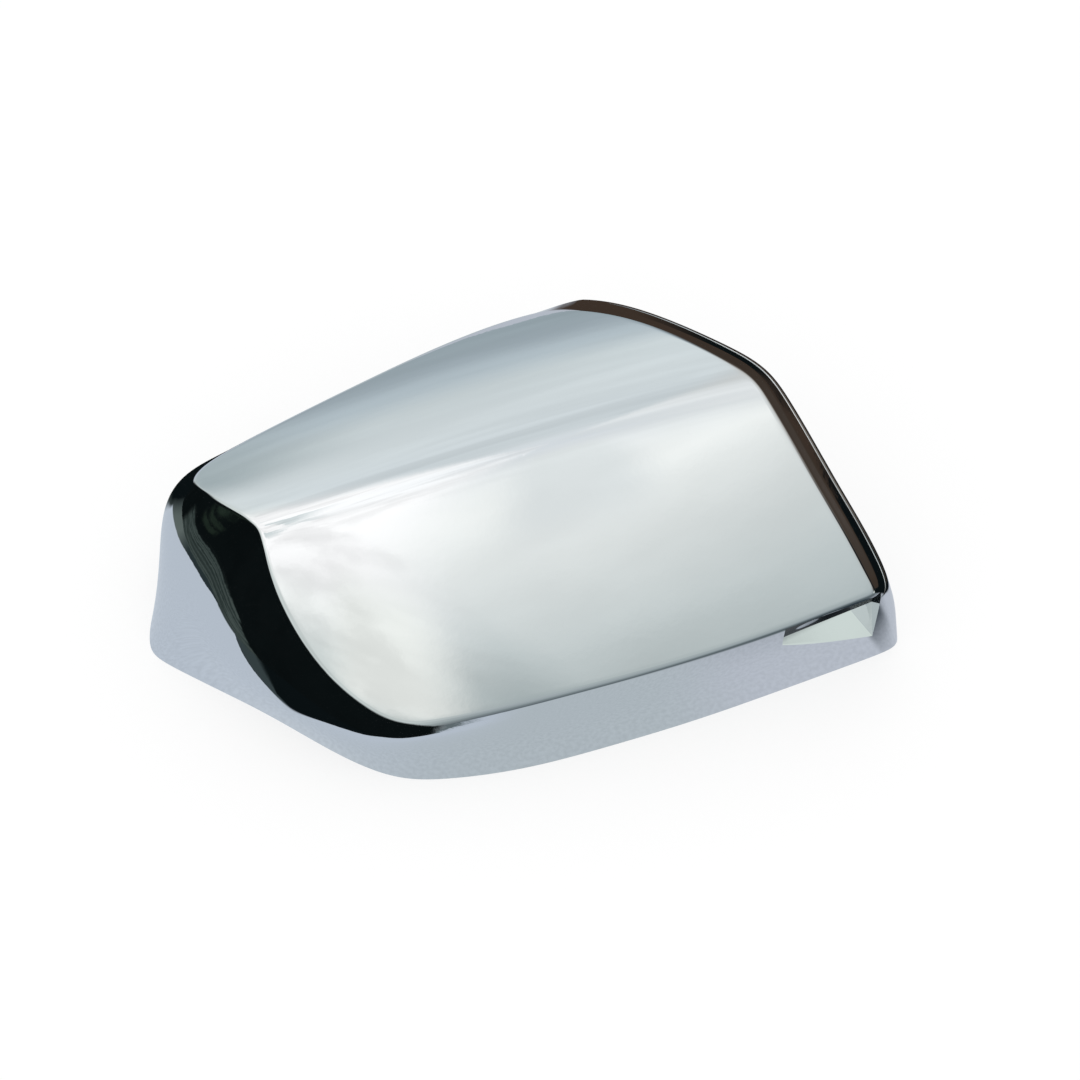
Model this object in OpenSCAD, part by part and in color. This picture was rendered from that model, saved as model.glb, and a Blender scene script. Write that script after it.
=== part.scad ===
// Wing mirror cover: one chrome-plated moulding, lying on its rim with the open side down.
// X runs along the long near edge, Y towards the far edge, Z up from the rim plane.
// The outboard end is at -X, the inboard end with its sloped flange at +X.

/* [Overall size] */
// Overall length along X, rim to rim, in mm
cover_length = 249; // [220:1:280]
// Overall depth along Y, rim to rim, in mm
cover_depth = 152.4; // [130:0.2:175]
// Overall height, from the rim plane to the highest point of the crease, in mm
cover_height = 79.5; // [65:0.5:95]
// Wall thickness of the moulding, in mm
wall = 2.5; // [2:0.1:3.5]

/* [Face] */
// Rise of the lower face away from the near edge, in degrees
front_tilt = 30.5; // [24:0.5:36]
// Rise of the whole face towards the inboard end, in degrees
side_tilt = 8.8; // [5:0.2:12]
// Crown radius of the lower face along its length, in mm
crown_long = 1046; // [700:1:2000]
// Crown radius of the lower face across its depth, in mm
crown_cross = 420; // [300:1:800]
// Crown radius of the upper face behind the crease, in mm
crown_far = 222; // [160:1:500]
// Change of slope at the crease, rise over run
crease_turn = 0.62; // [0.45:0.01:0.8]
// Softness of the crease, in mm
crease_soft = 3; // [1.5:0.1:6]
// How far the face drops at its near outboard corner, in mm
corner_drop = 4.2; // [0:0.1:6]

/* [Walls and edges] */
// How sharply the wall turns at its shoulder, from loose to tight
shoulder_turn = 0.92; // [0.6:0.01:0.95]
// Rounding of the outer edges, in mm
edge_round = 1.2; // [0.6:0.1:2]
// Width of the sloped flange along the inboard end, in mm
flange_width = 11; // [8:0.1:14]
// Steepness of the flange, from level, in degrees
flange_slope = 30; // [20:1:40]
// Depth of the groove along the lower flange, in mm
groove_depth = 0.9; // [0:0.1:1.2]
// Height of the bead beside the groove, in mm
bead_height = 0.6; // [0:0.1:1]

/* [Recess at the near inboard corner] */
// Length of the recess along the near edge, in mm
recess_length = 33.5; // [26:0.5:36]
// Drop of the recess foot from its tip, in mm
recess_drop = 14; // [10:0.5:18]
// Depth of the recess behind the near wall, in mm
recess_depth = 8.5; // [6:0.5:10]
// Height of the face lip left above the recess, in mm
recess_lip = 2.2; // [1.8:0.1:3.4]

/* [Hidden] */

base = [249, 152.4, 79.55];
size_x = cover_length / base[0];
size_y = cover_depth / base[1];
size_z = cover_height / base[2];

// The outline stations run anticlockwise from the near outboard corner, each one:
// face edge x, y, rim x, y, shoulder turn above and below in degrees, flange share, groove share
stations = [
    [-46.9, -61.1, -45.0, -69.0, 17.5, 5, 0, 0],
    [-17.4, -66.0, -17.0, -74.8, 14.5, 7, 0, 0],
    [13.5, -69.2, 14.5, -75.9, 10, 6, 0, 0],
    [43.5, -71.0, 45.5, -76.4, 6, 5, 0, 0],
    [73.5, -71.5, 76.5, -75.1, 5, 4, 0, 0],
    [95.5, -70.6, 101.5, -73.9, 5, 4, 0, 0],
    [105.0, -70.2, 115.5, -73.2, 5, 4, 0, 0],
    [108.7, -70.0, 122.8, -72.3, 5, 4, 0.3, 0.1],
    [108.7, -67.8, 124.9, -68.0, 5, 4, 0.75, 0.4],
    [107.3, -63.5, 124.3, -61.5, 5, 4, 0.98, 1],
    [104.0, -51.0, 120.7, -49.0, 5, 3, 1, 1],
    [99.0, -36.0, 116.0, -33.0, 5, 3, 1, 1],
    [94.5, -19.5, 111.9, -15.8, 5, 3, 1, 1],
    [91.5, -9.0, 109.0, -2.8, 5, 3, 1.03, 1],
    [89.7, -1.8, 106.2, 6.8, 5, 3, 1.04, 0.2],
    [86.9, 5.9, 102.0, 16.6, 5, 3, 1.02, 0],
    [79.8, 17.7, 92.6, 29.9, 5, 3, 1, 0],
    [70.0, 34.0, 81.5, 46.0, 5, 3, 1.04, 0],
    [61.5, 47.0, 72.0, 59.0, 5, 3, 1.12, 0],
    [53.0, 57.0, 62.5, 70.0, 5, 3, 1.16, 0],
    [44.2, 64.9, 50.1, 76.1, 6, 3, 0.8, 0],
    [25.5, 67.8, 29.5, 76.4, 10, 6, 0.15, 0],
    [-1.5, 64.2, 1.5, 74.5, 12, 7, 0, 0],
    [-31.5, 57.3, -28.5, 67.9, 12, 7, 0, 0],
    [-58.5, 51.6, -56.5, 63.4, 14, 8, 0, 0],
    [-78.5, 47.2, -78.5, 60.0, 20, 9, 0, 0],
    [-88.7, 44.0, -94.0, 57.5, 26, 10, 0, 0],
    [-93.7, 40.0, -104.5, 52.0, 30, 11, 0, 0],
    [-94.7, 36.0, -111.0, 43.3, 30, 13, 0, 0],
    [-93.3, 32.1, -117.0, 33.0, 25, 13, 0, 0],
    [-89.0, 24.1, -122.2, 23.0, 20, 11.9, 0, 0],
    [-83.5, 15.5, -124.5, 15.5, 14.5, 10.2, 0, 0],
    [-80.0, 9.7, -124.9, 10.0, 13, 9.1, 0, 0],
    [-78.7, 6.7, -121.5, 4.8, 14.4, 10.9, 0, 0],
    [-78.9, 1.8, -114.5, -2.9, 16.5, 15.4, 0, 0],
    [-79.5, -7.4, -103.8, -14.3, 21, 25, 0, 0],
    [-77.9, -19.5, -94.2, -24.5, 25.6, 27, 0, 0],
    [-73.9, -32.2, -85.0, -35.5, 29.5, 23, 0, 0],
    [-68.3, -42.7, -76.0, -46.4, 30.5, 21, 0, 0],
    [-60.8, -52.0, -66.8, -56.3, 27.7, 17, 0, 0],
    [-54.3, -57.4, -57.0, -64.1, 24, 7, 0, 0],
];

// Facets along the outline, up the wall and across the face
column_step = 7;
wall_rows = 8;
face_rows = 10;
inner_wall_rows = 6;
inner_face_rows = 7;

middle = [8.5 * size_x, -2 * size_y];
strip_min = 3;
crease_left = [-80.5, 7];
crease_right = [89.5, -3];
face_point = [-18.5, -25, 57];
drop_start = 38.75;
drop_run = 42;

// Height of the outer face over a point of the plan
function crease_y(x) = crease_left[1]
    + (crease_right[1] - crease_left[1]) * (x - crease_left[0]) / (crease_right[0] - crease_left[0]);
function past_crease(u) = u > 20 * crease_soft ? u : crease_soft * ln(1 + exp(u / crease_soft));
function base_height(x, y) =
    let (dx = x - face_point[0])
    let (dy = y - face_point[1])
    let (past = past_crease(y - crease_y(x)))
    let (corner = max(0, -0.72 * x - 0.69 * y - drop_start))
    face_point[2] + tan(side_tilt) * dx + tan(front_tilt) * dy
    - dx * dx / (2 * crown_long) - dy * dy / (2 * crown_cross)
    - crease_turn * past - past * past / (2 * crown_far)
    - corner_drop * pow(corner / drop_run, 2);
function height(p) = size_z * base_height(p[0] / size_x, p[1] / size_y);
function slope_factor(p) =
    let (h = 0.5)
    let (gx = (height([p[0] + h, p[1]]) - height([p[0] - h, p[1]])) / (2 * h))
    let (gy = (height([p[0], p[1] + h]) - height([p[0], p[1] - h])) / (2 * h))
    sqrt(1 + gx * gx + gy * gy);

// Smooth closed curve through the stations
count = len(stations);
function station(i) = stations[(i + count) % count];
function blend(i, u) =
    (pow(1 - u, 3) * station(i - 1) + (3 * pow(u, 3) - 6 * u * u + 4) * station(i)
    + (-3 * pow(u, 3) + 3 * u * u + 3 * u + 1) * station(i + 1) + pow(u, 3) * station(i + 2)) / 6;
function reach(i) =
    let (d = station(i + 1) - station(i))
    max(norm([d[0], d[1]]), norm([d[2], d[3]]));
outline = [
    for (i = [0:count - 1])
        let (steps = max(2, ceil(reach(i) / column_step)))
        for (k = [0:steps - 1]) blend(i, k / steps)
];
columns = len(outline);

edge_plan = [for (s = outline) [s[0] * size_x, s[1] * size_y]];
rim_plan = [for (s = outline) [s[2] * size_x, s[3] * size_y]];

// Share of the straight-in direction that the pull to the middle keeps
function unit(v) = v / norm(v);
function side_of(loop, i) =
    let (d = unit(loop[(i + 1) % columns] - loop[(i + columns - 1) % columns]))
    [d[1], -d[0]];
function squareness(loop, i) = max(0.5, unit(loop[i] - middle) * side_of(loop, i));
function pull_in(loop, i, by) =
    loop[i] - unit(loop[i] - middle) * (by / squareness(loop, i));

// Wall section in its own plane, o outwards and z up: from the rim to the top strip
function strip_lean(steep, share) = steep * (1 - share) + (90 - flange_slope) * share;
function strip_width(s) = strip_min + (flange_width - strip_min) * s[6];
function section(edge, rim, s, strip) =
    let (run = norm([rim[0] - edge[0], rim[1] - edge[1]]))
    let (out = [rim[0] - edge[0], rim[1] - edge[1]] / run)
    let (share = min(1, s[6]))
    let (steep = atan2(run, edge[2]) + s[4])
    let (lean = strip_lean(steep, share))
    let (foot = [edge[0], edge[1], edge[2]] + strip * [out[0] * sin(lean), out[1] * sin(lean), -cos(lean)])
    let (left = norm([rim[0] - foot[0], rim[1] - foot[1]]))
    let (mean = atan2(left, foot[2]))
    let (top = tan(steep * (1 - share) + (mean + s[4]) * share))
    let (low = tan(mean - s[5]))
    let (bend_z = (foot[2] * top - left) / (top - low))
    let (bend_o = (foot[2] - bend_z) * top)
    let (bend = [foot[0] + out[0] * bend_o, foot[1] + out[1] * bend_o, bend_z])
    [edge, foot, bend, [rim[0], rim[1], 0], lean, out, strip, atan(top)];

function on_wall(c, u) =
    let (a = c[3] + shoulder_turn * (c[2] - c[3]))
    let (b = c[1] + shoulder_turn * (c[2] - c[1]))
    pow(1 - u, 3) * c[3] + 3 * u * pow(1 - u, 2) * a + 3 * u * u * (1 - u) * b + pow(u, 3) * c[1];
function wall_end(c) = 1 - edge_round / (3 * shoulder_turn * norm(c[2] - c[1]));
function foot_round(c) = min(0.12, edge_round / c[6]);
function on_strip(c, t) = c[1] + (c[0] - c[1]) * t;
function off_strip(c, by) = by * [c[5][0] * cos(c[4]), c[5][1] * cos(c[4]), sin(c[4])];
function round_off(a, corner, b) = (a + 2 * corner + b) / 4;
function over(p) = [p[0], p[1], height(p)];
function to_middle(p, by) = over([p[0], p[1]] + unit(middle - [p[0], p[1]]) * by);
function to_share(p, k) = over(middle + ([p[0], p[1]] - middle) * k);

outer = [
    for (i = [0:columns - 1])
        section(over(edge_plan[i]), rim_plan[i], outline[i], strip_width(outline[i]))
];
outer_rows = concat(
    [for (k = [0:wall_rows]) [for (c = outer) on_wall(c, wall_end(c) * k / wall_rows)]],
    [[for (c = outer) round_off(on_wall(c, wall_end(c)), c[1], on_strip(c, foot_round(c)))]],
    [[for (c = outer) on_strip(c, foot_round(c))]],
    [[for (i = [0:columns - 1]) on_strip(outer[i], 0.2) + off_strip(outer[i], bead_height * outline[i][7])]],
    [[for (i = [0:columns - 1]) on_strip(outer[i], 0.34) - off_strip(outer[i], groove_depth * outline[i][7])]],
    [[for (c = outer) on_strip(c, 0.48)]],
    [[for (c = outer) on_strip(c, 1 - edge_round / c[6])]],
    [[for (c = outer) round_off(on_strip(c, 1 - edge_round / c[6]), c[0], to_middle(c[0], edge_round))]],
    [[for (c = outer) to_middle(c[0], edge_round)]],
    [for (k = [1:face_rows - 1]) [for (c = outer) to_share(c[0], 0.985 * (1 - k / face_rows))]]
);

// Inner side: the same section one wall thickness in
function depth_under(i) = wall * slope_factor(edge_plan[i]);
function inner_shift(i) =
    let (lean = outer[i][4])
    max(0.1 * wall, wall / cos(lean) - depth_under(i) * tan(lean));
function inner_edge(i) =
    let (p = pull_in(edge_plan, i, inner_shift(i)))
    [p[0], p[1], height(p) - depth_under(i)];
function inner_strip(i) =
    let (lean = outer[i][4])
    let (used = depth_under(i) * cos(lean) - inner_shift(i) * sin(lean))
    max(0.3, outer[i][6] - used - wall * tan((lean - outer[i][7]) / 2));
inner = [
    for (i = [0:columns - 1])
        section(inner_edge(i), pull_in(rim_plan, i, wall), outline[i], inner_strip(i))
];
function under(p) = [p[0], p[1], height(p) - wall * slope_factor(p)];
function to_share_under(p, k) = under(middle + ([p[0], p[1]] - middle) * k);
inner_rows = concat(
    [[for (c = inner) c[3] - [0, 0, 1]]],
    [for (k = [0:inner_wall_rows]) [for (c = inner) on_wall(c, k / inner_wall_rows)]],
    [[for (c = inner) c[0]]],
    [for (k = [1:inner_face_rows - 1]) [for (c = inner) to_share_under(c[0], 1 - k / inner_face_rows)]]
);

// Solid inside one stack of rings, closed by a point at the top and one at the bottom
function ring(k, i) = k * columns + i % columns;
function skin(rows) = [
    for (k = [0:rows - 2])
        for (i = [0:columns - 1])
            let (a = ring(k, i))
            let (b = ring(k, i + 1))
            let (c = ring(k + 1, i + 1))
            let (d = ring(k + 1, i))
            each [[a, c, b], [a, d, c]]
];

module solid(rows, top) {
    n = len(rows);
    bottom = [middle[0], middle[1], rows[0][0][2]];
    polyhedron(
        concat([for (row = rows) each row], [bottom, top]),
        concat(
            skin(n),
            [for (i = [0:columns - 1]) [ring(0, i), ring(0, i + 1), n * columns]],
            [for (i = [0:columns - 1]) [ring(n - 1, i), n * columns + 1, ring(n - 1, i + 1)]]
        )
    );
}

// Recess: its floor runs from the tip and the foot back to the deepest corner
recess_right = 109 * size_x;
recess_front = -72.3 * size_y;
recess_top = 29.5 * size_z;
recess_tip = [recess_right - recess_length, recess_front, recess_top];
recess_foot = [recess_right, recess_front, recess_top - recess_drop];
recess_back = [recess_right + 4, recess_front + recess_depth, recess_top - recess_drop / 2];
recess_heel = recess_tip + [1, 1.5, 1.5];
function lip_under(p, by) =
    [p[0], p[1], height([min(p[0], 107 * size_x), -70 * size_y]) - recess_lip - by];
recess_inside = [
    recess_tip,
    recess_foot,
    recess_back,
    recess_heel,
    lip_under(recess_tip, 0),
    lip_under(recess_foot, 1.5),
    lip_under(recess_back, 3.5),
    lip_under(recess_heel, 0),
];
recess_mouth = [
    recess_tip + [0, -6, -6],
    recess_foot + [0, -6, -6],
    lip_under(recess_tip + [0, -6, 0], 0),
    lip_under(recess_foot + [0, -6, 0], 1.5),
];

module recess_cut() {
    hull() {
        polyhedron(concat(recess_inside, recess_mouth), [for (i = [0:3:9]) [i, i + 1, i + 2]]);
    }
}

// Ends the hollow one wall thickness behind the recess
module recess_backing() {
    hull() {
        for (p = recess_inside) {
            translate(p)
                sphere(r = wall, $fn = 12);
        }
    }
}

// The facets fall a little short of the curves, so the last step sets the overall size exactly
module cover_shell() {
    color([0.78, 0.8, 0.83])
        resize([cover_length, cover_depth, cover_height]) difference() {
            solid(outer_rows, over(middle));
            difference() {
                solid(inner_rows, under(middle));
                recess_backing();
            }
            recess_cut();
        }
}

cover_shell();
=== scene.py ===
import math

import bmesh
import bpy
import numpy as np
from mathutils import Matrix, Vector


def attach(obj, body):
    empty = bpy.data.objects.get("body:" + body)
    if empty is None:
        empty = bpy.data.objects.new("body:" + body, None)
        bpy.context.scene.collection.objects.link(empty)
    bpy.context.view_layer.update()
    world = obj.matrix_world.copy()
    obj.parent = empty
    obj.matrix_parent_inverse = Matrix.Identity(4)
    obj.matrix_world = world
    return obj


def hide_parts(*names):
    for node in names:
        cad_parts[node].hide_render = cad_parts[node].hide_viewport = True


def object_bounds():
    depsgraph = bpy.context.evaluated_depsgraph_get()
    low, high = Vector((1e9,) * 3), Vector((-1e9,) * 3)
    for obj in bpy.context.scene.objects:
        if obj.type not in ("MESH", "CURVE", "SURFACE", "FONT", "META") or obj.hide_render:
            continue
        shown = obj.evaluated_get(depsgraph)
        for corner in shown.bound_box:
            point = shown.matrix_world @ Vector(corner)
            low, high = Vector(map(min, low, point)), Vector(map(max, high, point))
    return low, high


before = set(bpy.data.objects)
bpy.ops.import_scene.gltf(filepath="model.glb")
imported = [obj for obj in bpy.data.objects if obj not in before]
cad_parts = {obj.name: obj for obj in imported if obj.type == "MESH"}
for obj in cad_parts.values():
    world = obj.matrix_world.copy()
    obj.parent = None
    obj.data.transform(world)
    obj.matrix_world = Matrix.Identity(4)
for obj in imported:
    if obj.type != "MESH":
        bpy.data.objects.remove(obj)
cadBox = [list(corner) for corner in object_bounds()]
print("frame loaded, box", cadBox)

mm = 0.001

# the camera stands where the photograph was taken from
cameraSet = {
    "target": (0.0135, -0.005, 0.025),
    "azimuth": -19.0,      # degrees, negative towards the outboard end
    "elevation": 58.0,
    "distance": 0.65,
    "lens": 62.5,
    "sensor": 36,
    "clipStart": 0.01,
}


def makeCamera(values):
    turn, lift = math.radians(values["azimuth"]), math.radians(values["elevation"])
    back = Vector((math.sin(turn) * math.cos(lift), -math.cos(turn) * math.cos(lift), math.sin(lift)))
    data = bpy.data.cameras.new("camera")
    data.lens = values["lens"]
    data.sensor_width = values["sensor"]
    data.clip_start = values["clipStart"]
    camera = bpy.data.objects.new("camera", data)
    bpy.context.scene.collection.objects.link(camera)
    camera.location = Vector(values["target"]) + back * values["distance"]
    camera.rotation_euler = (-back).to_track_quat("-Z", "Y").to_euler()
    bpy.context.scene.camera = camera


makeCamera(cameraSet)
print("camera placed")

# the cover, in mm and degrees
cover = {
    "wall": 2.5,
    "facePoint": (-18.5, -25, 57),    # the face passes through here with both tilts
    "frontTilt": 30.5,
    "sideTilt": 8.8,
    "crownLong": 1046,                # radii of the face along, across and behind the crease
    "crownCross": 420,
    "crownFar": 222,
    "creaseLeft": (-80.5, 7),
    "creaseRight": (89.5, -3),
    "creaseTurn": 0.62,               # change of slope over the crease
    "creaseSoft": 3,
    "dropWay": (-0.72, -0.69),        # the face falls away towards the near outboard corner
    "dropStart": 38.75,
    "dropRun": 42,
    "cornerDrop": 4.2,
    "shoulderTurn": 0.92,             # how closely the wall follows its bend
    "edgeRound": 1.2,
    "roundMost": 0.12,                # the most of the strip that its lower rounding takes
    "flangeWidth": 11,
    "flangeSlope": 30,
    "stripMin": 3,                    # the strip's width where it is no flange
    "grooveAt": (0.11, 0.125, 0.165, 0.1755, 0.19, 0.59, 0.64, 0.89),    # shares of the strip, from below
    "grooveUp": (0, -0.09, -0.15, -0.31, -0.3, 0.3, 0.32, 0),
    "middle": (8.5, -2),
    "innerShiftMin": 0.1,             # share of the wall
    "innerStripMin": 0.3,
    "hollowBelow": 1.0,               # the hollow's tool reaches this far under the rim
    "squareMin": 0.5,                 # limits how much a slanted step inwards is lengthened
    "columnStep": 1.35,
    "wallRows": 34,
    "stripRows": (
        0, 0.035, 0.055, 0.066, 0.0705, 0.0753, 0.0801, 0.084, 0.092, 0.103, 0.12, 0.2, 0.32, 0.45, 0.56,
        0.6, 0.62, 0.64, 0.66, 0.68, 0.71, 0.8, 0.9, 1),
    "cornerRows": 6,
    "faceRows": 64,
    "innerWallRows": 12,
    "innerStripRows": 3,
    "innerFaceRows": 14,
    "doublesWithin": 0.0005,
    "smoothAngle": 32,                # edges that turn by more look sharp
}

# face edge x, y, rim x, y, shoulder turn above and below, flange share, groove share
stations = np.array([
    [-46.9, -61.1, -45.0, -69.0, 17.5, 5, 0, 0],
    [-17.4, -66.0, -17.0, -74.8, 14.5, 7, 0, 0],
    [13.5, -69.2, 14.5, -75.9, 10, 6, 0, 0],
    [43.5, -71.0, 45.5, -76.4, 6, 5, 0, 0],
    [73.5, -71.5, 76.5, -75.1, 5, 4, 0, 0],
    [95.5, -70.6, 101.5, -73.9, 5, 4, 0, 0],
    [105.0, -70.2, 115.5, -73.2, 5, 4, 0, 0],
    [108.7, -70.0, 122.8, -72.3, 5, 4, 0.3, 0.1],
    [108.7, -67.8, 124.9, -68.0, 5, 4, 0.75, 0.4],
    [107.3, -63.5, 124.3, -61.5, 5, 4, 0.98, 1],
    [104.0, -51.0, 120.7, -49.0, 5, 3, 1, 1],
    [99.0, -36.0, 116.0, -33.0, 5, 3, 1, 1],
    [94.5, -19.5, 111.9, -15.8, 5, 3, 1, 1],
    [91.5, -9.0, 109.0, -2.8, 5, 3, 1.03, 1],
    [89.7, -1.8, 106.2, 6.8, 5, 3, 1.04, 0.95],
    [86.9, 5.9, 102.0, 16.6, 5, 3, 1.02, 0.85],
    [79.8, 17.7, 92.6, 29.9, 5, 3, 1, 0.7],
    [70.0, 34.0, 81.5, 46.0, 5, 3, 1.04, 0.5],
    [61.5, 47.0, 72.0, 59.0, 5, 3, 1.12, 0.3],
    [53.0, 57.0, 62.5, 70.0, 5, 3, 1.16, 0],
    [44.2, 64.9, 50.1, 76.1, 6, 3, 0.8, 0],
    [25.5, 67.8, 29.5, 76.4, 10, 6, 0.15, 0],
    [-1.5, 64.2, 1.5, 74.5, 12, 7, 0, 0],
    [-31.5, 57.3, -28.5, 67.9, 12, 7, 0, 0],
    [-58.5, 51.6, -56.5, 63.4, 14, 8, 0, 0],
    [-78.5, 47.2, -78.5, 60.0, 20, 9, 0, 0],
    [-88.7, 44.0, -94.0, 57.5, 26, 10, 0, 0],
    [-93.7, 40.0, -104.5, 52.0, 30, 11, 0, 0],
    [-94.7, 36.0, -111.0, 43.3, 30, 13, 0, 0],
    [-93.3, 32.1, -117.0, 33.0, 25, 13, 0, 0],
    [-89.0, 24.1, -122.2, 23.0, 20, 11.9, 0, 0],
    [-83.5, 15.5, -124.5, 15.5, 14.5, 10.2, 0, 0],
    [-80.0, 9.7, -124.9, 10.0, 13, 9.1, 0, 0],
    [-78.7, 6.7, -121.5, 4.8, 14.4, 10.9, 0, 0],
    [-78.9, 1.8, -114.5, -2.9, 16.5, 15.4, 0, 0],
    [-79.5, -7.4, -103.8, -14.3, 21, 25, 0, 0],
    [-77.9, -19.5, -94.2, -24.5, 25.6, 27, 0, 0],
    [-73.9, -32.2, -85.0, -35.5, 29.5, 23, 0, 0],
    [-68.3, -42.7, -76.0, -46.4, 30.5, 21, 0, 0],
    [-60.8, -52.0, -66.8, -56.3, 27.7, 17, 0, 0],
    [-54.3, -57.4, -57.0, -64.1, 24, 7, 0, 0],
])


# a smooth closed curve along the stations, with a point at least every step
def outlineCurve(step):
    rows = []
    count = len(stations)
    for i in range(count):
        before, here, after, beyond = (stations[(i + k) % count] for k in (-1, 0, 1, 2))
        gap = after - here
        reach = max(math.hypot(gap[0], gap[1]), math.hypot(gap[2], gap[3]))
        parts = max(3, math.ceil(reach / step))
        for k in range(parts):
            u = k / parts
            rows.append((
                (1 - u) ** 3 * before
                + (3 * u ** 3 - 6 * u * u + 4) * here
                + (-3 * u ** 3 + 3 * u * u + 3 * u + 1) * after
                + u ** 3 * beyond
            ) / 6)
    return np.array(rows)


def faceHeight(x, y):
    c = cover
    slope = (c["creaseRight"][1] - c["creaseLeft"][1]) / (c["creaseRight"][0] - c["creaseLeft"][0])
    creaseY = c["creaseLeft"][1] + slope * (x - c["creaseLeft"][0])
    past = c["creaseSoft"] * np.logaddexp(0, (y - creaseY) / c["creaseSoft"])
    dx, dy = x - c["facePoint"][0], y - c["facePoint"][1]
    corner = np.maximum(0, c["dropWay"][0] * x + c["dropWay"][1] * y - c["dropStart"])
    return (
        c["facePoint"][2]
        + math.tan(math.radians(c["sideTilt"])) * dx
        + math.tan(math.radians(c["frontTilt"])) * dy
        - dx * dx / (2 * c["crownLong"])
        - dy * dy / (2 * c["crownCross"])
        - c["creaseTurn"] * past
        - past * past / (2 * c["crownFar"])
        - c["cornerDrop"] * (corner / c["dropRun"]) ** 2
    )


def slopeFactor(plan):
    reach = 0.5
    x, y = plan[:, 0], plan[:, 1]
    alongX = (faceHeight(x + reach, y) - faceHeight(x - reach, y)) / (2 * reach)
    alongY = (faceHeight(x, y + reach) - faceHeight(x, y - reach)) / (2 * reach)
    return np.sqrt(1 + alongX ** 2 + alongY ** 2)


def onFace(plan, under=0.0):
    return np.column_stack([plan, faceHeight(plan[:, 0], plan[:, 1]) - under])


def unit(v):
    return v / np.linalg.norm(v, axis=1)[:, None]


def pullIn(loop, by):
    along = unit(np.roll(loop, -1, 0) - np.roll(loop, 1, 0))
    side = np.column_stack([along[:, 1], -along[:, 0]])
    outward = unit(loop - np.array(cover["middle"]))
    square = np.maximum(cover["squareMin"], (outward * side).sum(1))
    return loop - outward * (by / square)[:, None]


def wallSection(edge, rimPlan, line, strip):
    gap = rimPlan - edge[:, :2]
    run = np.linalg.norm(gap, axis=1)
    out = gap / run[:, None]
    share = np.minimum(1, line[:, 6])
    steep = np.degrees(np.arctan2(run, edge[:, 2])) + line[:, 4]
    lean = np.radians(steep * (1 - share) + (90 - cover["flangeSlope"]) * share)
    down = np.column_stack([out * np.sin(lean)[:, None], -np.cos(lean)])
    foot = edge + down * strip[:, None]
    left = np.linalg.norm(rimPlan - foot[:, :2], axis=1)
    mean = np.degrees(np.arctan2(left, foot[:, 2]))
    top = np.tan(np.radians(steep * (1 - share) + (mean + line[:, 4]) * share))
    low = np.tan(np.radians(mean - line[:, 5]))
    bendZ = (foot[:, 2] * top - left) / (top - low)
    bendOut = (foot[:, 2] - bendZ) * top
    return {
        "edge": edge,
        "foot": foot,
        "bend": np.column_stack([foot[:, :2] + out * bendOut[:, None], bendZ]),
        "rim": np.column_stack([rimPlan, np.zeros(len(rimPlan))]),
        "lean": lean,
        "wallLean": np.arctan(top),
        "off": np.column_stack([out * np.cos(lean)[:, None], np.sin(lean)]),
        "strip": strip,
    }


def onWall(c, u):
    u = np.reshape(u, (-1, 1))
    turn = cover["shoulderTurn"]
    low = c["rim"] + turn * (c["bend"] - c["rim"])
    high = c["foot"] + turn * (c["bend"] - c["foot"])
    fromRim = (1 - u) ** 3 * c["rim"] + 3 * u * (1 - u) ** 2 * low
    return fromRim + 3 * u * u * (1 - u) * high + u ** 3 * c["foot"]


def onStrip(c, t):
    return c["foot"] + (c["edge"] - c["foot"]) * np.reshape(t, (-1, 1))


def roundCorner(a, corner, b, rows):
    shares = [k / rows for k in range(1, rows)]
    return [(1 - s) ** 2 * a + 2 * s * (1 - s) * corner + s * s * b for s in shares]


def stripProfile(t, groove):
    return np.interp(t, cover["grooveAt"], cover["grooveUp"]) * groove


line = outlineCurve(cover["columnStep"])
columns = len(line)
middle = np.array(cover["middle"])
edgePlan, rimPlan = line[:, 0:2], line[:, 2:4]


def outerRows():
    c = cover
    strip = c["stripMin"] + (c["flangeWidth"] - c["stripMin"]) * line[:, 6]
    side = wallSection(onFace(edgePlan), rimPlan, line, strip)
    bendGap = np.linalg.norm(side["bend"] - side["foot"], axis=1)
    wallEnd = 1 - c["edgeRound"] / (3 * c["shoulderTurn"] * bendGap)
    rows = [onWall(side, wallEnd * k / c["wallRows"]) for k in range(c["wallRows"] + 1)]
    low = np.minimum(c["roundMost"], c["edgeRound"] / strip)
    high = 1 - c["edgeRound"] / strip
    rows += roundCorner(rows[-1], side["foot"], onStrip(side, low), c["cornerRows"])
    for share in c["stripRows"]:
        t = low + (high - low) * share
        rows.append(onStrip(side, t) + side["off"] * stripProfile(t, line[:, 7])[:, None])
    toMiddle = unit(middle - edgePlan)
    onTop = onFace(edgePlan + toMiddle * c["edgeRound"])
    rows += roundCorner(rows[-1], side["edge"], onTop, c["cornerRows"])
    rows.append(onTop)
    start = onTop[:, :2] - middle
    for k in range(1, c["faceRows"]):
        rows.append(onFace(middle + start * (1 - k / c["faceRows"])))
    return rows, side


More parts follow.
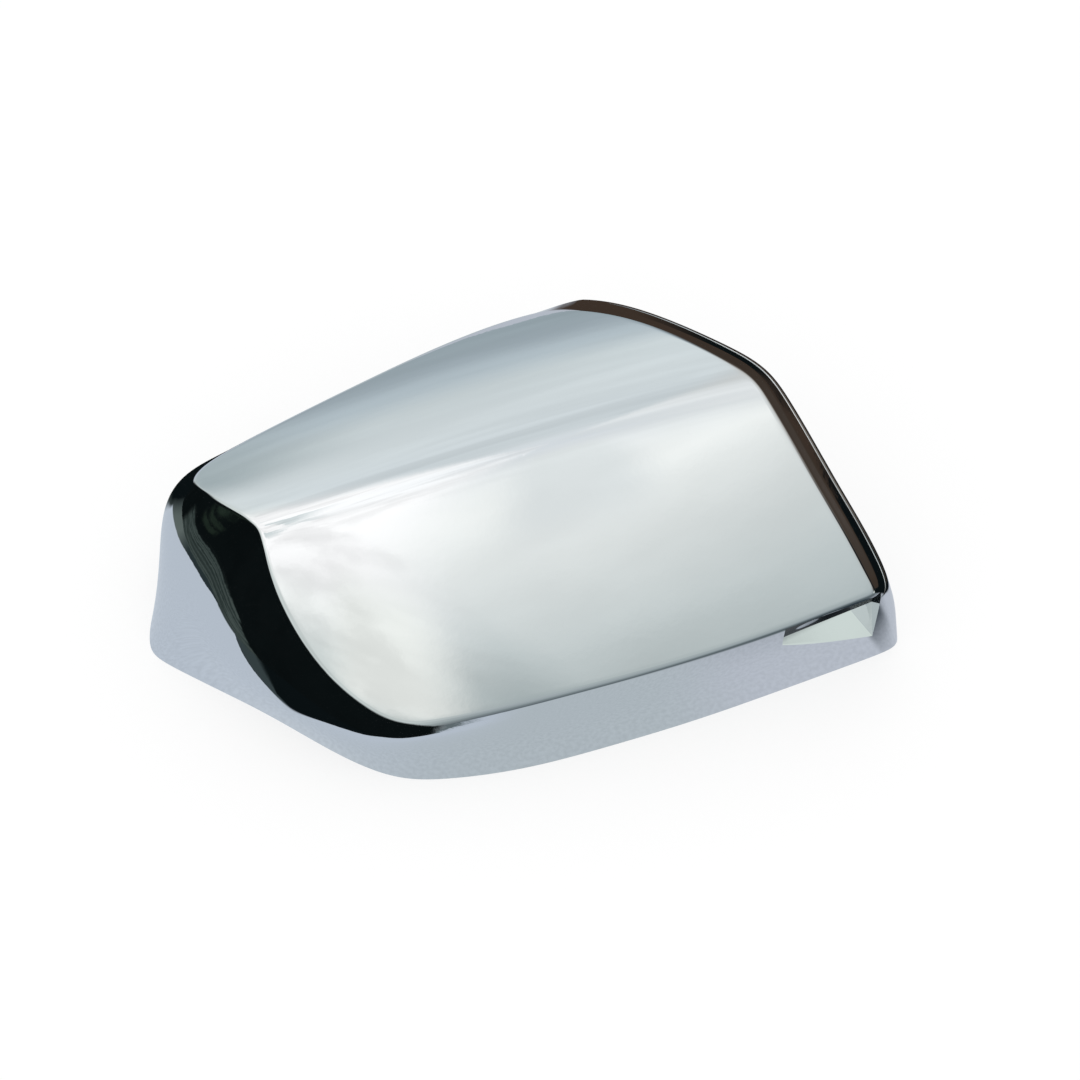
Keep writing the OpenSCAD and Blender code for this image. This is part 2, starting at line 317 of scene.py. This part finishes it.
def innerRows(outerSide):
    c = cover
    lean = outerSide["lean"]
    deep = c["wall"] * slopeFactor(edgePlan)
    shift = np.maximum(c["innerShiftMin"] * c["wall"], c["wall"] / np.cos(lean) - deep * np.tan(lean))
    edge = onFace(pullIn(edgePlan, shift), deep)
    used = deep * np.cos(lean) - shift * np.sin(lean)
    turn = c["wall"] * np.tan((lean - outerSide["wallLean"]) / 2)
    strip = np.maximum(c["innerStripMin"], outerSide["strip"] - used - turn)
    side = wallSection(edge, pullIn(rimPlan, c["wall"] * np.ones(columns)), line, strip)
    ones = np.ones(columns)
    rows = [onWall(side, 0 * ones) - np.array([0, 0, c["hollowBelow"]])]
    rows += [onWall(side, k / c["innerWallRows"] * ones) for k in range(c["innerWallRows"] + 1)]
    rows += [onStrip(side, (k + 1) / c["innerStripRows"] * ones) for k in range(c["innerStripRows"])]
    for k in range(1, c["innerFaceRows"]):
        plan = middle + (edge[:, :2] - middle) * (1 - k / c["innerFaceRows"])
        rows.append(onFace(plan, c["wall"] * slopeFactor(plan)))
    return rows


def solidOfRings(name, rows, top):
    count = len(rows)
    bottom = [middle[0], middle[1], rows[0][0][2]]
    points = np.vstack(rows + [[bottom], [top]]) * mm
    faces = []
    for k in range(count - 1):
        for i in range(columns):
            j = (i + 1) % columns
            faces.append((k * columns + i, k * columns + j, (k + 1) * columns + j, (k + 1) * columns + i))
    last = (count - 1) * columns
    for i in range(columns):
        j = (i + 1) % columns
        faces.append((j, i, count * columns))
        faces.append((last + i, last + j, count * columns + 1))
    mesh = bpy.data.meshes.new(name)
    mesh.from_pydata(points.tolist(), [], faces)
    return addObject(name, mesh)


def addObject(name, mesh):
    piece = bpy.data.objects.new(name, mesh)
    bpy.context.scene.collection.objects.link(piece)
    return piece


def hullOf(name, points):
    shape = bmesh.new()
    for point in points:
        shape.verts.new(Vector(point) * mm)
    result = bmesh.ops.convex_hull(shape, input=shape.verts)
    spare = list(set(result["geom_interior"] + result["geom_unused"]))
    bmesh.ops.delete(shape, geom=spare, context="VERTS")
    bmesh.ops.recalc_face_normals(shape, faces=shape.faces)
    mesh = bpy.data.meshes.new(name)
    shape.to_mesh(mesh)
    shape.free()
    return addObject(name, mesh)


def cutAway(piece, tool):
    step = piece.modifiers.new("cut", "BOOLEAN")
    step.operation = "DIFFERENCE"
    step.solver = "EXACT"
    step.object = tool
    graph = bpy.context.evaluated_depsgraph_get()
    result = bpy.data.meshes.new_from_object(piece.evaluated_get(graph))
    piece.modifiers.remove(step)
    old = piece.data
    piece.data = result
    bpy.data.meshes.remove(old)
    oldTool = tool.data
    bpy.data.objects.remove(tool)
    bpy.data.meshes.remove(oldTool)


# the wedge recess at the near inboard corner, in mm
recess = {
    "right": 109,
    "front": -72.3,
    "top": 29.5,
    "length": 33.5,
    "drop": 14,
    "depth": 8.5,
    "lip": 1.2,
    "lipLine": (107, -70),               # the lip follows the face at this y, up to this x
    "backPast": 4,                       # how far the back goes past the right end
    "backLip": 1,
    "heelShift": (1, 1.5, 1.5),          # from the recess's tip
    "mouth": 6,                          # how far the tool reaches out in front
    "ballRings": 6,                      # the wall behind the recess is rounded by such balls
    "ballSides": 12,
    "backFaces": (0.188, -0.982, 0),     # the back wall, which gets the painted shade
    "backMatch": 0.98,
    "backGap": 1.25,
    "backSlope": 0.19,
    "backFoot": 12,
}


def recessPoints():
    r = recess
    tip = np.array([r["right"] - r["length"], r["front"], r["top"]])
    foot = np.array([r["right"], r["front"], r["top"] - r["drop"]])
    back = np.array([r["right"] + r["backPast"], r["front"] + r["depth"], r["top"] - r["drop"] / 2])
    heel = tip + r["heelShift"]
    lipX, lipY = r["lipLine"]

    def lipUnder(p, by=0):
        return np.array([p[0], p[1], faceHeight(min(p[0], lipX), lipY) - r["lip"] - by])

    under = [lipUnder(tip), lipUnder(foot), lipUnder(back, r["backLip"]), lipUnder(heel)]
    inside = [tip, foot, back, heel] + under
    ahead = np.array([0, -r["mouth"], 0])
    down = np.array([0, 0, -r["mouth"]])
    mouth = [tip + ahead + down, foot + ahead + down, lipUnder(tip + ahead), lipUnder(foot + ahead)]
    return inside, inside + mouth


def ballAround(p, radius):
    rings, sides = recess["ballRings"], recess["ballSides"]
    points = []
    for ring in range(1, rings):
        lift = math.pi * (ring / rings - 0.5)
        for k in range(sides):
            turn = math.tau * k / sides
            points.append(p + radius * np.array([
                math.cos(turn) * math.cos(lift), math.sin(turn) * math.cos(lift), math.sin(lift)]))
    return points + [p + [0, 0, radius], p - [0, 0, radius]]


def joinDoubles(piece, near):
    shape = bmesh.new()
    shape.from_mesh(piece.data)
    bmesh.ops.remove_doubles(shape, verts=shape.verts, dist=near)
    shape.to_mesh(piece.data)
    shape.free()


# the outer form less the recess and the hollow, then stretched by a hair to the CAD solid's box
def buildCover():
    rows, side = outerRows()
    top = np.array([middle[0], middle[1], faceHeight(middle[0], middle[1])])
    piece = solidOfRings("cover", rows, top)
    roof = np.array([0, 0, cover["wall"] * slopeFactor(middle[None, :])[0]])
    hollow = solidOfRings("hollow", innerRows(side), top - roof)
    inside, whole = recessPoints()
    cutAway(hollow, hullOf("backing", [q for p in inside for q in ballAround(p, cover["wall"])]))
    cutAway(piece, hullOf("recess", whole))
    cutAway(piece, hollow)
    joinDoubles(piece, cover["doublesWithin"] * mm)
    low, high = (np.array(v) for v in cadBox)
    points = np.array([v.co for v in piece.data.vertices])
    ownLow, ownHigh = points.min(0), points.max(0)
    points = low + (points - ownLow) * (high - low) / (ownHigh - ownLow)
    piece.data.vertices.foreach_set("co", points.astype(np.float32).ravel())
    piece.data.update()
    return piece


coverPiece = buildCover()
coverPiece.data.shade_smooth()
coverPiece.data.set_sharp_from_angle(angle=math.radians(cover["smoothAngle"]))
print("cover built,", len(coverPiece.data.polygons), "faces")


class Wiring:
    def __init__(self, tree):
        self.nodes, self.links = tree.nodes, tree.links
        self.nodes.clear()

    def add(self, kind, values=None, **settings):
        node = self.nodes.new(kind)
        for name, value in settings.items():
            setattr(node, name, value)
        for name, value in (values or {}).items():
            node.inputs[name].default_value = value
        return node

    def feed(self, socket, value):
        if isinstance(value, bpy.types.NodeSocket):
            self.links.new(value, socket)
        else:
            socket.default_value = value

    def calc(self, operation, *terms):
        node = self.add("ShaderNodeMath", operation=operation)
        for socket, term in zip(node.inputs, terms):
            self.feed(socket, term)
        return node.outputs[0]

    def step(self, value, low, high, start=0.0, end=1.0):
        node = self.add("ShaderNodeMapRange", interpolation_type="SMOOTHSTEP")
        terms = {"Value": value, "From Min": low, "From Max": high, "To Min": start, "To Max": end}
        for name, term in terms.items():
            self.feed(node.inputs[name], term)
        return node.outputs["Result"]

    def both(self, *shares):
        whole = shares[0]
        for share in shares[1:]:
            whole = self.calc("MULTIPLY", whole, share)
        return whole

    # what the patch's limits leave of it, where a limit goes from nothing to all
    def mask(self, measures, patch):
        steps = []
        for name, measure in measures.items():
            steps += [self.step(measure, *limits) for limits in patch.get(name, ())]
        return self.both(*steps)

    def mix(self, share, first, second):
        node = self.add("ShaderNodeMix", data_type="RGBA")
        self.feed(node.inputs[0], share)
        self.feed(node.inputs[6], first)
        self.feed(node.inputs[7], second)
        return node.outputs[2]

    def ramp(self, value, stops, low, high):
        node = self.add("ShaderNodeValToRGB")
        place = self.calc("DIVIDE", self.calc("SUBTRACT", value, low), high - low)
        self.links.new(place, node.inputs["Fac"])
        marks = node.color_ramp.elements
        while len(marks) < len(stops):
            marks.new(0.5)
        # the marks start close together at the left, so that none passes another on its way
        for k in range(len(stops)):
            marks[k].position = k / len(stops) * 1e-4
        for k, (at, look) in reversed(list(enumerate(stops))):
            marks[k].position = (at - low) / (high - low)
            marks[k].color = mirroredTone(look)
        return node.outputs["Color"]

    def noise(self, vector, scale, detail=2.0):
        node = self.add("ShaderNodeTexNoise", {"Scale": scale, "Detail": detail})
        self.links.new(vector, node.inputs["Vector"])
        return node.outputs["Fac"]

    def aroundZero(self, noise, by):
        return self.calc("MULTIPLY", self.calc("SUBTRACT", noise, 0.5), by)

    def aroundOne(self, noise, span, by):
        return self.step(noise, *span, 1 - by, 1 + by)

    def parts(self, vector):
        node = self.add("ShaderNodeSeparateXYZ")
        self.links.new(vector, node.inputs[0])
        return node.outputs

    def join(self, x, y, z):
        node = self.add("ShaderNodeCombineXYZ")
        for socket, term in zip(node.inputs, (x, y, z)):
            self.feed(socket, term)
        return node.outputs[0]


# both platings are a little smeared and rippled
surface = {
    "smearDetail": 3.0,
    "smearSpan": (0.35, 0.7),
    "peelScale": 420,
    "peelHeight": 0.000006,
}

# chrome plating
chrome = {
    "colour": (0.78, 0.8, 0.83, 1),
    "rough": (0.012, 0.035),
    "smearScale": 38,
}

# the back of the recess, painted near black as the shade in its slot, with a sliver of plain chrome colour;
# places in metres
recessShadePlating = {
    "colour": (0.02, 0.026, 0.026, 1),
    "rough": (0.12, 0.25),
    "smearScale": 90,
    "sliver": {
        "colour": (0.75, 0.78, 0.8, 1),
        "at": (0.0857, 0.0316),
        "size": (0.0046, 0.0011),
        "rise": -0.14,
        "soft": (1.2, 0.7),
    },
}


def newMaterial(name):
    material = bpy.data.materials.new(name)
    material.use_nodes = True
    return material, Wiring(material.node_tree)


def sliverMask(w, place, values):
    x, y, z = w.parts(place)
    along = w.calc("SUBTRACT", x, values["at"][0])
    middleLine = w.calc("MULTIPLY_ADD", along, values["rise"], values["at"][1])
    up = w.calc("SUBTRACT", z, middleLine)
    along = w.calc("POWER", w.calc("DIVIDE", along, values["size"][0]), 2.0)
    up = w.calc("POWER", w.calc("DIVIDE", up, values["size"][1]), 2.0)
    return w.step(w.calc("ADD", along, up), *values["soft"])


def makePlating(name, values):
    material, w = newMaterial(name)
    place = w.add("ShaderNodeTexCoord").outputs["Object"]
    smear = w.noise(place, values["smearScale"], surface["smearDetail"])
    bump = w.add("ShaderNodeBump", {"Strength": 1.0, "Distance": surface["peelHeight"]})
    w.feed(bump.inputs["Height"], w.noise(place, surface["peelScale"]))
    shader = w.add("ShaderNodeBsdfPrincipled", {"Base Color": values["colour"], "Metallic": 1.0})
    if "sliver" in values:
        inside = sliverMask(w, place, values["sliver"])
        w.feed(shader.inputs["Base Color"], w.mix(inside, values["colour"], values["sliver"]["colour"]))
    w.feed(shader.inputs["Roughness"], w.step(smear, *surface["smearSpan"], *values["rough"]))
    w.feed(shader.inputs["Normal"], bump.outputs["Normal"])
    output = w.add("ShaderNodeOutputMaterial")
    w.feed(output.inputs["Surface"], shader.outputs["BSDF"])
    return material


# the faces of the recess's back wall take the second material, which paints shade on them
def markRecessBack(piece):
    r = recess
    tipX = r["right"] - r["length"]
    for face in piece.data.polygons:
        x, y, z = face.center / mm
        start = r["front"] + r["backGap"] + r["backSlope"] * (x - tipX - r["heelShift"][0])
        facing = face.normal.dot(Vector(r["backFaces"])) > r["backMatch"]
        if facing and y > start and z > r["backFoot"] and x > tipX:
            face.material_index = 1


plating = makePlating("chrome_plating", chrome)
coverPiece.data.materials.clear()
coverPiece.data.materials.append(plating)
# the second material is painted shade for the back wall of the recess
coverPiece.data.materials.append(makePlating("recess_painted_shade", recessShadePlating))
markRecessBack(coverPiece)
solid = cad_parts["cover_shell"]
solid.data.materials.clear()
solid.data.materials.append(plating)
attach(coverPiece, "root")
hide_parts("cover_shell")
print("chrome done")


# a look is the colour as it shows in the plating, red, green and blue to 255
def mirroredTone(look):
    plain = []
    for value, tint in zip(look, chrome["colour"]):
        share = value / 255
        linear = share / 12.92 if share <= 0.04045 else ((share + 0.055) / 1.055) ** 2.4
        plain.append(linear / tint)
    return tuple(plain) + (1.0,)


# Floor: white to the camera with a soft shadow; in the plating a pale sheet with darker ground past it.
# Places are in metres. An edge is a share of x, a share of y, and where their sum goes from nothing to all,
# or between the two shares that end it.
ground = {
    "size": 6.0,
    "sunk": 0.0003,
    "seen": 1.0,
    "shadowShare": 0.3,
    "sheet": (178, 188, 200),
    "patches": {
        "sheetRight": {"look": (170, 180, 187), "edges": [(1, 0, -0.12, -0.02)]},
        "sheetEnd": {"look": (177, 184, 195), "edges": [(1, 0, 0.03, 0.075)]},
        "far": {"look": (62, 73, 73), "edges": [(-1, 0, 1.1, 2.2)]},
        "front": {"look": (92, 103, 107), "edges": [(1, -0.42, 0.0896, 0.1596), (0, 1, -0.09, -0.14)]},
        "shade": {"look": (46, 56, 64), "crisp": True, "edges": [
            (-0.5, -1, 0.008, 0.032), (1, 0, 0.115, 0.1185), (1, 0, 0.165, 0.15),
            (1, 0, 0.128, 0.137, 1.0, 0.35)]},
        "brown": {"look": (58, 48, 41), "edges": [(0, 1, 0.09, 0.16), (1, -0.22, 0.026, 0.042)]},
        "side": {"look": (10, 16, 18), "edges": [
            (1, 0, 0.14, 0.17), (0.9, 1, 0.066, 0.096), (0, 1, 0.27, 0.21)]},
    },
    # past the sheet's far left corner, by how steeply a place lies from the left
    "corner": {
        "looks": [
            (0.2, (38, 48, 50)), (0.42, (90, 100, 98)), (0.55, (86, 96, 94)), (0.68, (56, 64, 64)),
            (0.8, (10, 16, 18))],
        "steepSpan": (0, 1.25),
        "steepEnd": (1.75, 1.4),
        "leastReach": 0.01,
        "line": (-0.7, -0.006),
        "lineMost": 0.138,
        "soft": (-0.006, 0.008),
        "left": (-0.04, -0.07),
    },
    # between two lines, each a slope and where it crosses the place "from"
    "wedge": {
        "look": (10, 16, 18),
        "from": -0.105,
        "upper": (0.121, -0.0396),
        "lower": (1.387, -0.0486),
        "slack": (0.004, 0.006),
        "soft": (0.00003, 0.00008),
        "strip": (52, 62, 64),
        "stripFrom": -0.12,
        "stripLeast": 0.004,
        "stripShare": (0.25, 0.17),
    },
    "wobble": {"scale": 14.0, "detail": 3.0, "by": 0.03},
    "grain": {"scale": 620, "detail": 4.0, "span": (0.3, 0.7), "by": 0.05},
}


def floorPlane(values):
    half = values["size"] / 2
    corners = [(-half, -half, 0), (half, -half, 0), (half, half, 0), (-half, half, 0)]
    mesh = bpy.data.meshes.new("floor")
    mesh.from_pydata(corners, [], [(0, 1, 2, 3)])
    floor = addObject("floor", mesh)
    floor.location.z = -values["sunk"]
    return floor


def wedgeOver(w, tone, x, y, values):
    run = w.calc("SUBTRACT", x, values["from"])
    below = w.calc("SUBTRACT", w.calc("MULTIPLY_ADD", run, *values["upper"]), y)
    above = w.calc("SUBTRACT", y, w.calc("MULTIPLY_ADD", run, *values["lower"]))
    sides = []
    for side, slack in zip((below, above), values["slack"]):
        sides.append(w.calc("MAXIMUM", w.calc("ADD", side, slack), 0.0))
    reach = w.calc("MAXIMUM", w.calc("SUBTRACT", values["stripFrom"], x), values["stripLeast"])
    strip = w.step(w.calc("DIVIDE", below, reach), *values["stripShare"])
    look = w.mix(strip, mirroredTone(values["look"]), mirroredTone(values["strip"]))
    return w.mix(w.step(w.both(*sides), *values["soft"]), tone, look)


def cornerOver(w, tone, x, y, values):
    line = w.calc("MINIMUM", w.calc("MULTIPLY_ADD", x, *values["line"]), values["lineMost"])
    steep = w.calc("DIVIDE", y, w.calc("MAXIMUM", w.calc("MULTIPLY", x, -1.0), values["leastReach"]))
    share = w.both(
        w.step(w.calc("SUBTRACT", y, line), *values["soft"]),
        w.step(x, *values["left"]),
        w.step(steep, *values["steepEnd"]))
    return w.mix(share, tone, w.ramp(steep, values["looks"], *values["steepSpan"]))


def groundTone(w, place, values):
    crispX, y = w.parts(place)[:2]
    wobble = values["wobble"]
    x = w.calc("ADD", crispX, w.aroundZero(w.noise(place, wobble["scale"], wobble["detail"]), wobble["by"]))
    tone = mirroredTone(values["sheet"])
    for patch in values["patches"].values():
        ownX = crispX if patch.get("crisp") else x
        steps = []
        for across, along, *limits in patch["edges"]:
            measure = w.calc("MULTIPLY_ADD", ownX, across, w.calc("MULTIPLY", y, along))
            steps.append(w.step(measure, *limits))
        tone = w.mix(w.both(*steps), tone, mirroredTone(patch["look"]))
    tone = cornerOver(w, tone, x, y, values["corner"])
    return wedgeOver(w, tone, crispX, y, values["wedge"])


def makeFloor(values):
    floor = floorPlane(values)
    material, w = newMaterial("floor_white")
    place = w.add("ShaderNodeTexCoord").outputs["Object"]
    grain = values["grain"]
    mirrored = w.add("ShaderNodeEmission")
    w.feed(mirrored.inputs["Color"], groundTone(w, place, values))
    w.feed(mirrored.inputs["Strength"], w.aroundOne(
        w.noise(place, grain["scale"], grain["detail"]), grain["span"], grain["by"]))
    white = w.add("ShaderNodeEmission", {"Strength": values["seen"]})
    paper = w.add("ShaderNodeBsdfDiffuse", {"Color": (1, 1, 1, 1)})
    shown = w.add("ShaderNodeMixShader", {"Fac": values["shadowShare"]})
    w.feed(shown.inputs[1], white.outputs["Emission"])
    w.feed(shown.inputs[2], paper.outputs["BSDF"])
    pick = w.add("ShaderNodeMixShader")
    w.feed(pick.inputs["Fac"], w.add("ShaderNodeLightPath").outputs["Is Glossy Ray"])
    w.feed(pick.inputs[1], shown.outputs["Shader"])
    w.feed(pick.inputs[2], mirrored.outputs["Emission"])
    # from under the floor the cover shows through it
    under = w.add("ShaderNodeMixShader")
    w.feed(under.inputs["Fac"], w.add("ShaderNodeNewGeometry").outputs["Backfacing"])
    w.feed(under.inputs[1], pick.outputs["Shader"])
    w.feed(under.inputs[2], w.add("ShaderNodeBsdfTransparent").outputs["BSDF"])
    output = w.add("ShaderNodeOutputMaterial")
    w.feed(output.inputs["Surface"], under.outputs["Shader"])
    floor.data.materials.append(material)


makeFloor(ground)
print("floor done")

# Sky: white to the camera; in the plating it goes by direction, in degrees: turn from the back towards the
# right, spread the same without its sign, and lift above the floor. A limit goes from nothing to all.
sky = {
    "seen": 1.0,
    "light": (1.06, 1.06, 1.06, 1),
    "liftSpan": (-10, 90),
    "ramps": {
        "back": [
            (-8, (138, 152, 159)), (0, (144, 158, 165)), (8, (155, 168, 176)), (15, (175, 188, 195)),
            (22, (199, 209, 212)), (32, (207, 216, 219)), (48, (203, 212, 216)), (60, (196, 205, 209)),
            (69, (199, 208, 212)), (78, (210, 218, 222)), (88, (215, 222, 227))],
        "front": [
            (-8, (84, 94, 98)), (0, (100, 109, 115)), (12, (120, 131, 135)), (17, (140, 152, 156)),
            (22, (148, 158, 163)), (32, (155, 165, 169)), (42, (163, 174, 176)), (49, (187, 196, 197)),
            (56, (214, 220, 220)), (63, (236, 240, 239)), (70, (227, 232, 233)), (86, (213, 220, 225))],
        "right": [
            (-8, (58, 48, 41)), (0, (54, 46, 40)), (12, (60, 52, 45)), (21, (64, 57, 52)),
            (28, (108, 103, 98)), (38, (180, 182, 180)), (50, (200, 203, 203)), (60, (207, 212, 213)),
            (68, (222, 227, 229)), (76, (225, 230, 232)), (88, (214, 221, 225))],
        "left": [
            (18, (186, 196, 196)), (34, (198, 207, 206)), (41, (208, 216, 215)), (47, (238, 242, 241)),
            (54, (248, 249, 250)), (70, (252, 253, 254)), (80, (247, 250, 252)), (89, (222, 228, 232))],
    },
    # what lies over the back, each over the ones before it; the look is a colour or one of the ramps
    "patches": {
        "backLeft": {"look": (161, 174, 178), "turn": [(-2, -13)], "lift": [(32, 21)]},
        "right": {"look": "right", "turn": [(18, 28), (150, 128)]},
        "front": {"look": "front", "spread": [(120, 144)]},
        "centre": {"look": (219, 225, 226), "spread": [(166, 175)], "lift": [(57, 62), (80, 74)]},
        "facet": {"look": (198, 209, 206), "turn": [(119, 123), (140, 132)], "lift": [(16, 12)]},
        "left": {"look": "left", "turn": [(-168, -146), (-12, -34)]},
        "nook": {"look": (20, 27, 29), "turn": [(101, 105), (121, 117)], "lift": [(44, 34)]},
        "glow": {
            "look": (234, 238, 235), "turn": [(-143, -148), (-162, -153)], "lift": [(33, 38), (58, 48)]},
        "smudge": {
            "look": (210, 219, 221), "turn": [(-125, -105), (-30, -50)], "lift": [(58, 64), (76, 70)],
            "blur": [(0.5, 0.6)]},
    },
    "blur": {"scale": 7.0, "detail": 4.0},
    "clouds": {"stretch": (2.6, 2.6, 7.5), "detail": 4.0, "span": (0.34, 0.66), "by": 0.055},
    "mottle": {"scale": 8.0, "detail": 6.0, "span": (0.44, 0.64), "down": 0.88},
    "inner": (205, 214, 211),
    # the dark band low on the left; the ceiling and the strip's top go by turn, from one lift to another
    "band": {
        "look": (10, 15, 16),
        "turn": [(-174, -170), (-24, -34)],
        "ceiling": [(-120, -100, 28, 36), (-64, -50, 0, -8), (-150, -168, 0, -36)],
        "ragged": {"scale": 5.0, "detail": 3.0, "by": 4.0},
        "soft": (2.5, -2.5),
        "lines": {"stretch": (0.02, 0.5), "scale": 2.2, "detail": 4.0},
        "strip": {
            "look": (64, 74, 72),
            "between": (38, 47, 46),
            "lineSpan": (0.4, 0.6),
            "turn": (-61, -65),
            "top": (-116, -94, -4, 8.5),
            "ragged": 3.0,
            "soft": (0.6, -0.8),
        },
        "olive": {
            "look": (30, 40, 34), "turn": [(-80.5, -79), (-66, -72)], "lift": [(10.5, 12)],
            "lines": [(0.38, 0.6)]},
    },
}


def stripOver(w, tone, turn, lift, lines, values):
    top = w.calc("ADD", w.step(turn, *values["top"]), w.aroundZero(lines, values["ragged"]))
    share = w.both(w.step(w.calc("SUBTRACT", lift, top), *values["soft"]), w.step(turn, *values["turn"]))
    lineShare = w.step(lines, *values["lineSpan"])
    look = w.mix(lineShare, mirroredTone(values["between"]), mirroredTone(values["look"]))
    return w.mix(share, tone, look)


def bandOver(w, tone, way, turn, lift, values):
    ceiling = 0.0
    for limits in values["ceiling"]:
        ceiling = w.calc("ADD", ceiling, w.step(turn, *limits))
    ragged = values["ragged"]
    wave = w.aroundZero(w.noise(way, ragged["scale"], ragged["detail"]), ragged["by"])
    height = w.calc("SUBTRACT", w.calc("SUBTRACT", lift, ceiling), wave)
    drawn = values["lines"]
    stretched = w.join(
        w.calc("MULTIPLY", turn, drawn["stretch"][0]), w.calc("MULTIPLY", lift, drawn["stretch"][1]), 0.0)
    lines = w.noise(stretched, drawn["scale"], drawn["detail"])
    look = stripOver(w, mirroredTone(values["look"]), turn, lift, lines, values["strip"])
    olive = w.mask({"turn": turn, "lift": lift, "lines": lines}, values["olive"])
    look = w.mix(olive, look, mirroredTone(values["olive"]["look"]))
    share = w.both(w.mask({"turn": turn}, values), w.step(height, *values["soft"]))
    return w.mix(share, tone, look)


def skyTone(w, way, turn, lift, values):
    ramps, blur = values["ramps"], values["blur"]
    measures = {
        "turn": turn,
        "lift": lift,
        "spread": w.calc("ABSOLUTE", turn),
        "blur": w.noise(way, blur["scale"], blur["detail"]),
    }
    tone = w.ramp(lift, ramps["back"], *values["liftSpan"])
    for patch in values["patches"].values():
        look = patch["look"]
        over = w.ramp(lift, ramps[look], *values["liftSpan"]) if look in ramps else mirroredTone(look)
        tone = w.mix(w.mask(measures, patch), tone, over)
    return tone


def skyHaze(w, way, turn, values):
    clouds, mottle = values["clouds"], values["mottle"]
    layers = w.join(*[w.calc("MULTIPLY", part, by) for part, by in zip(w.parts(way), clouds["stretch"])])
    haze = w.aroundOne(w.noise(layers, 1.0, clouds["detail"]), clouds["span"], clouds["by"])
    spots = w.step(w.noise(way, mottle["scale"], mottle["detail"]), *mottle["span"])
    onLeft = w.mask({"turn": turn}, values["patches"]["left"])
    return w.both(haze, w.calc("MULTIPLY_ADD", w.both(onLeft, spots), mottle["down"] - 1, 1.0))


def makeSky(values):
    world = bpy.data.worlds.new("sky")
    bpy.context.scene.world = world
    world.use_nodes = True
    w = Wiring(world.node_tree)
    way = w.add("ShaderNodeTexCoord").outputs["Generated"]
    x, y, z = w.parts(way)
    lift = w.calc("DEGREES", w.calc("ARCSINE", z))
    turn = w.calc("DEGREES", w.calc("ARCTAN2", x, y))
    tone = skyTone(w, way, turn, lift, values)
    tone = bandOver(w, tone, way, turn, lift, values["band"])

    mirrored = w.add("ShaderNodeBackground")
    path = w.add("ShaderNodeLightPath")
    # where the plating mirrors itself, it shows one plain tone
    again = w.calc("GREATER_THAN", path.outputs["Glossy Depth"], 1.5)
    w.feed(mirrored.inputs["Color"], w.mix(again, tone, mirroredTone(values["inner"])))
    w.feed(mirrored.inputs["Strength"], skyHaze(w, way, turn, values))
    plain = w.add("ShaderNodeBackground", {"Color": values["light"]})
    seen = w.add("ShaderNodeBackground", {"Color": (1, 1, 1, 1), "Strength": values["seen"]})
    glossy = w.add("ShaderNodeMixShader")
    w.feed(glossy.inputs["Fac"], path.outputs["Is Glossy Ray"])
    w.feed(glossy.inputs[1], plain.outputs["Background"])
    w.feed(glossy.inputs[2], mirrored.outputs["Background"])
    pick = w.add("ShaderNodeMixShader")
    w.feed(pick.inputs["Fac"], path.outputs["Is Camera Ray"])
    w.feed(pick.inputs[1], glossy.outputs["Shader"])
    w.feed(pick.inputs[2], seen.outputs["Background"])
    output = w.add("ShaderNodeOutputWorld")
    w.feed(output.inputs["Surface"], pick.outputs["Shader"])


makeSky(sky)
bpy.context.scene.view_settings.view_transform = "Standard"
print("sky done")
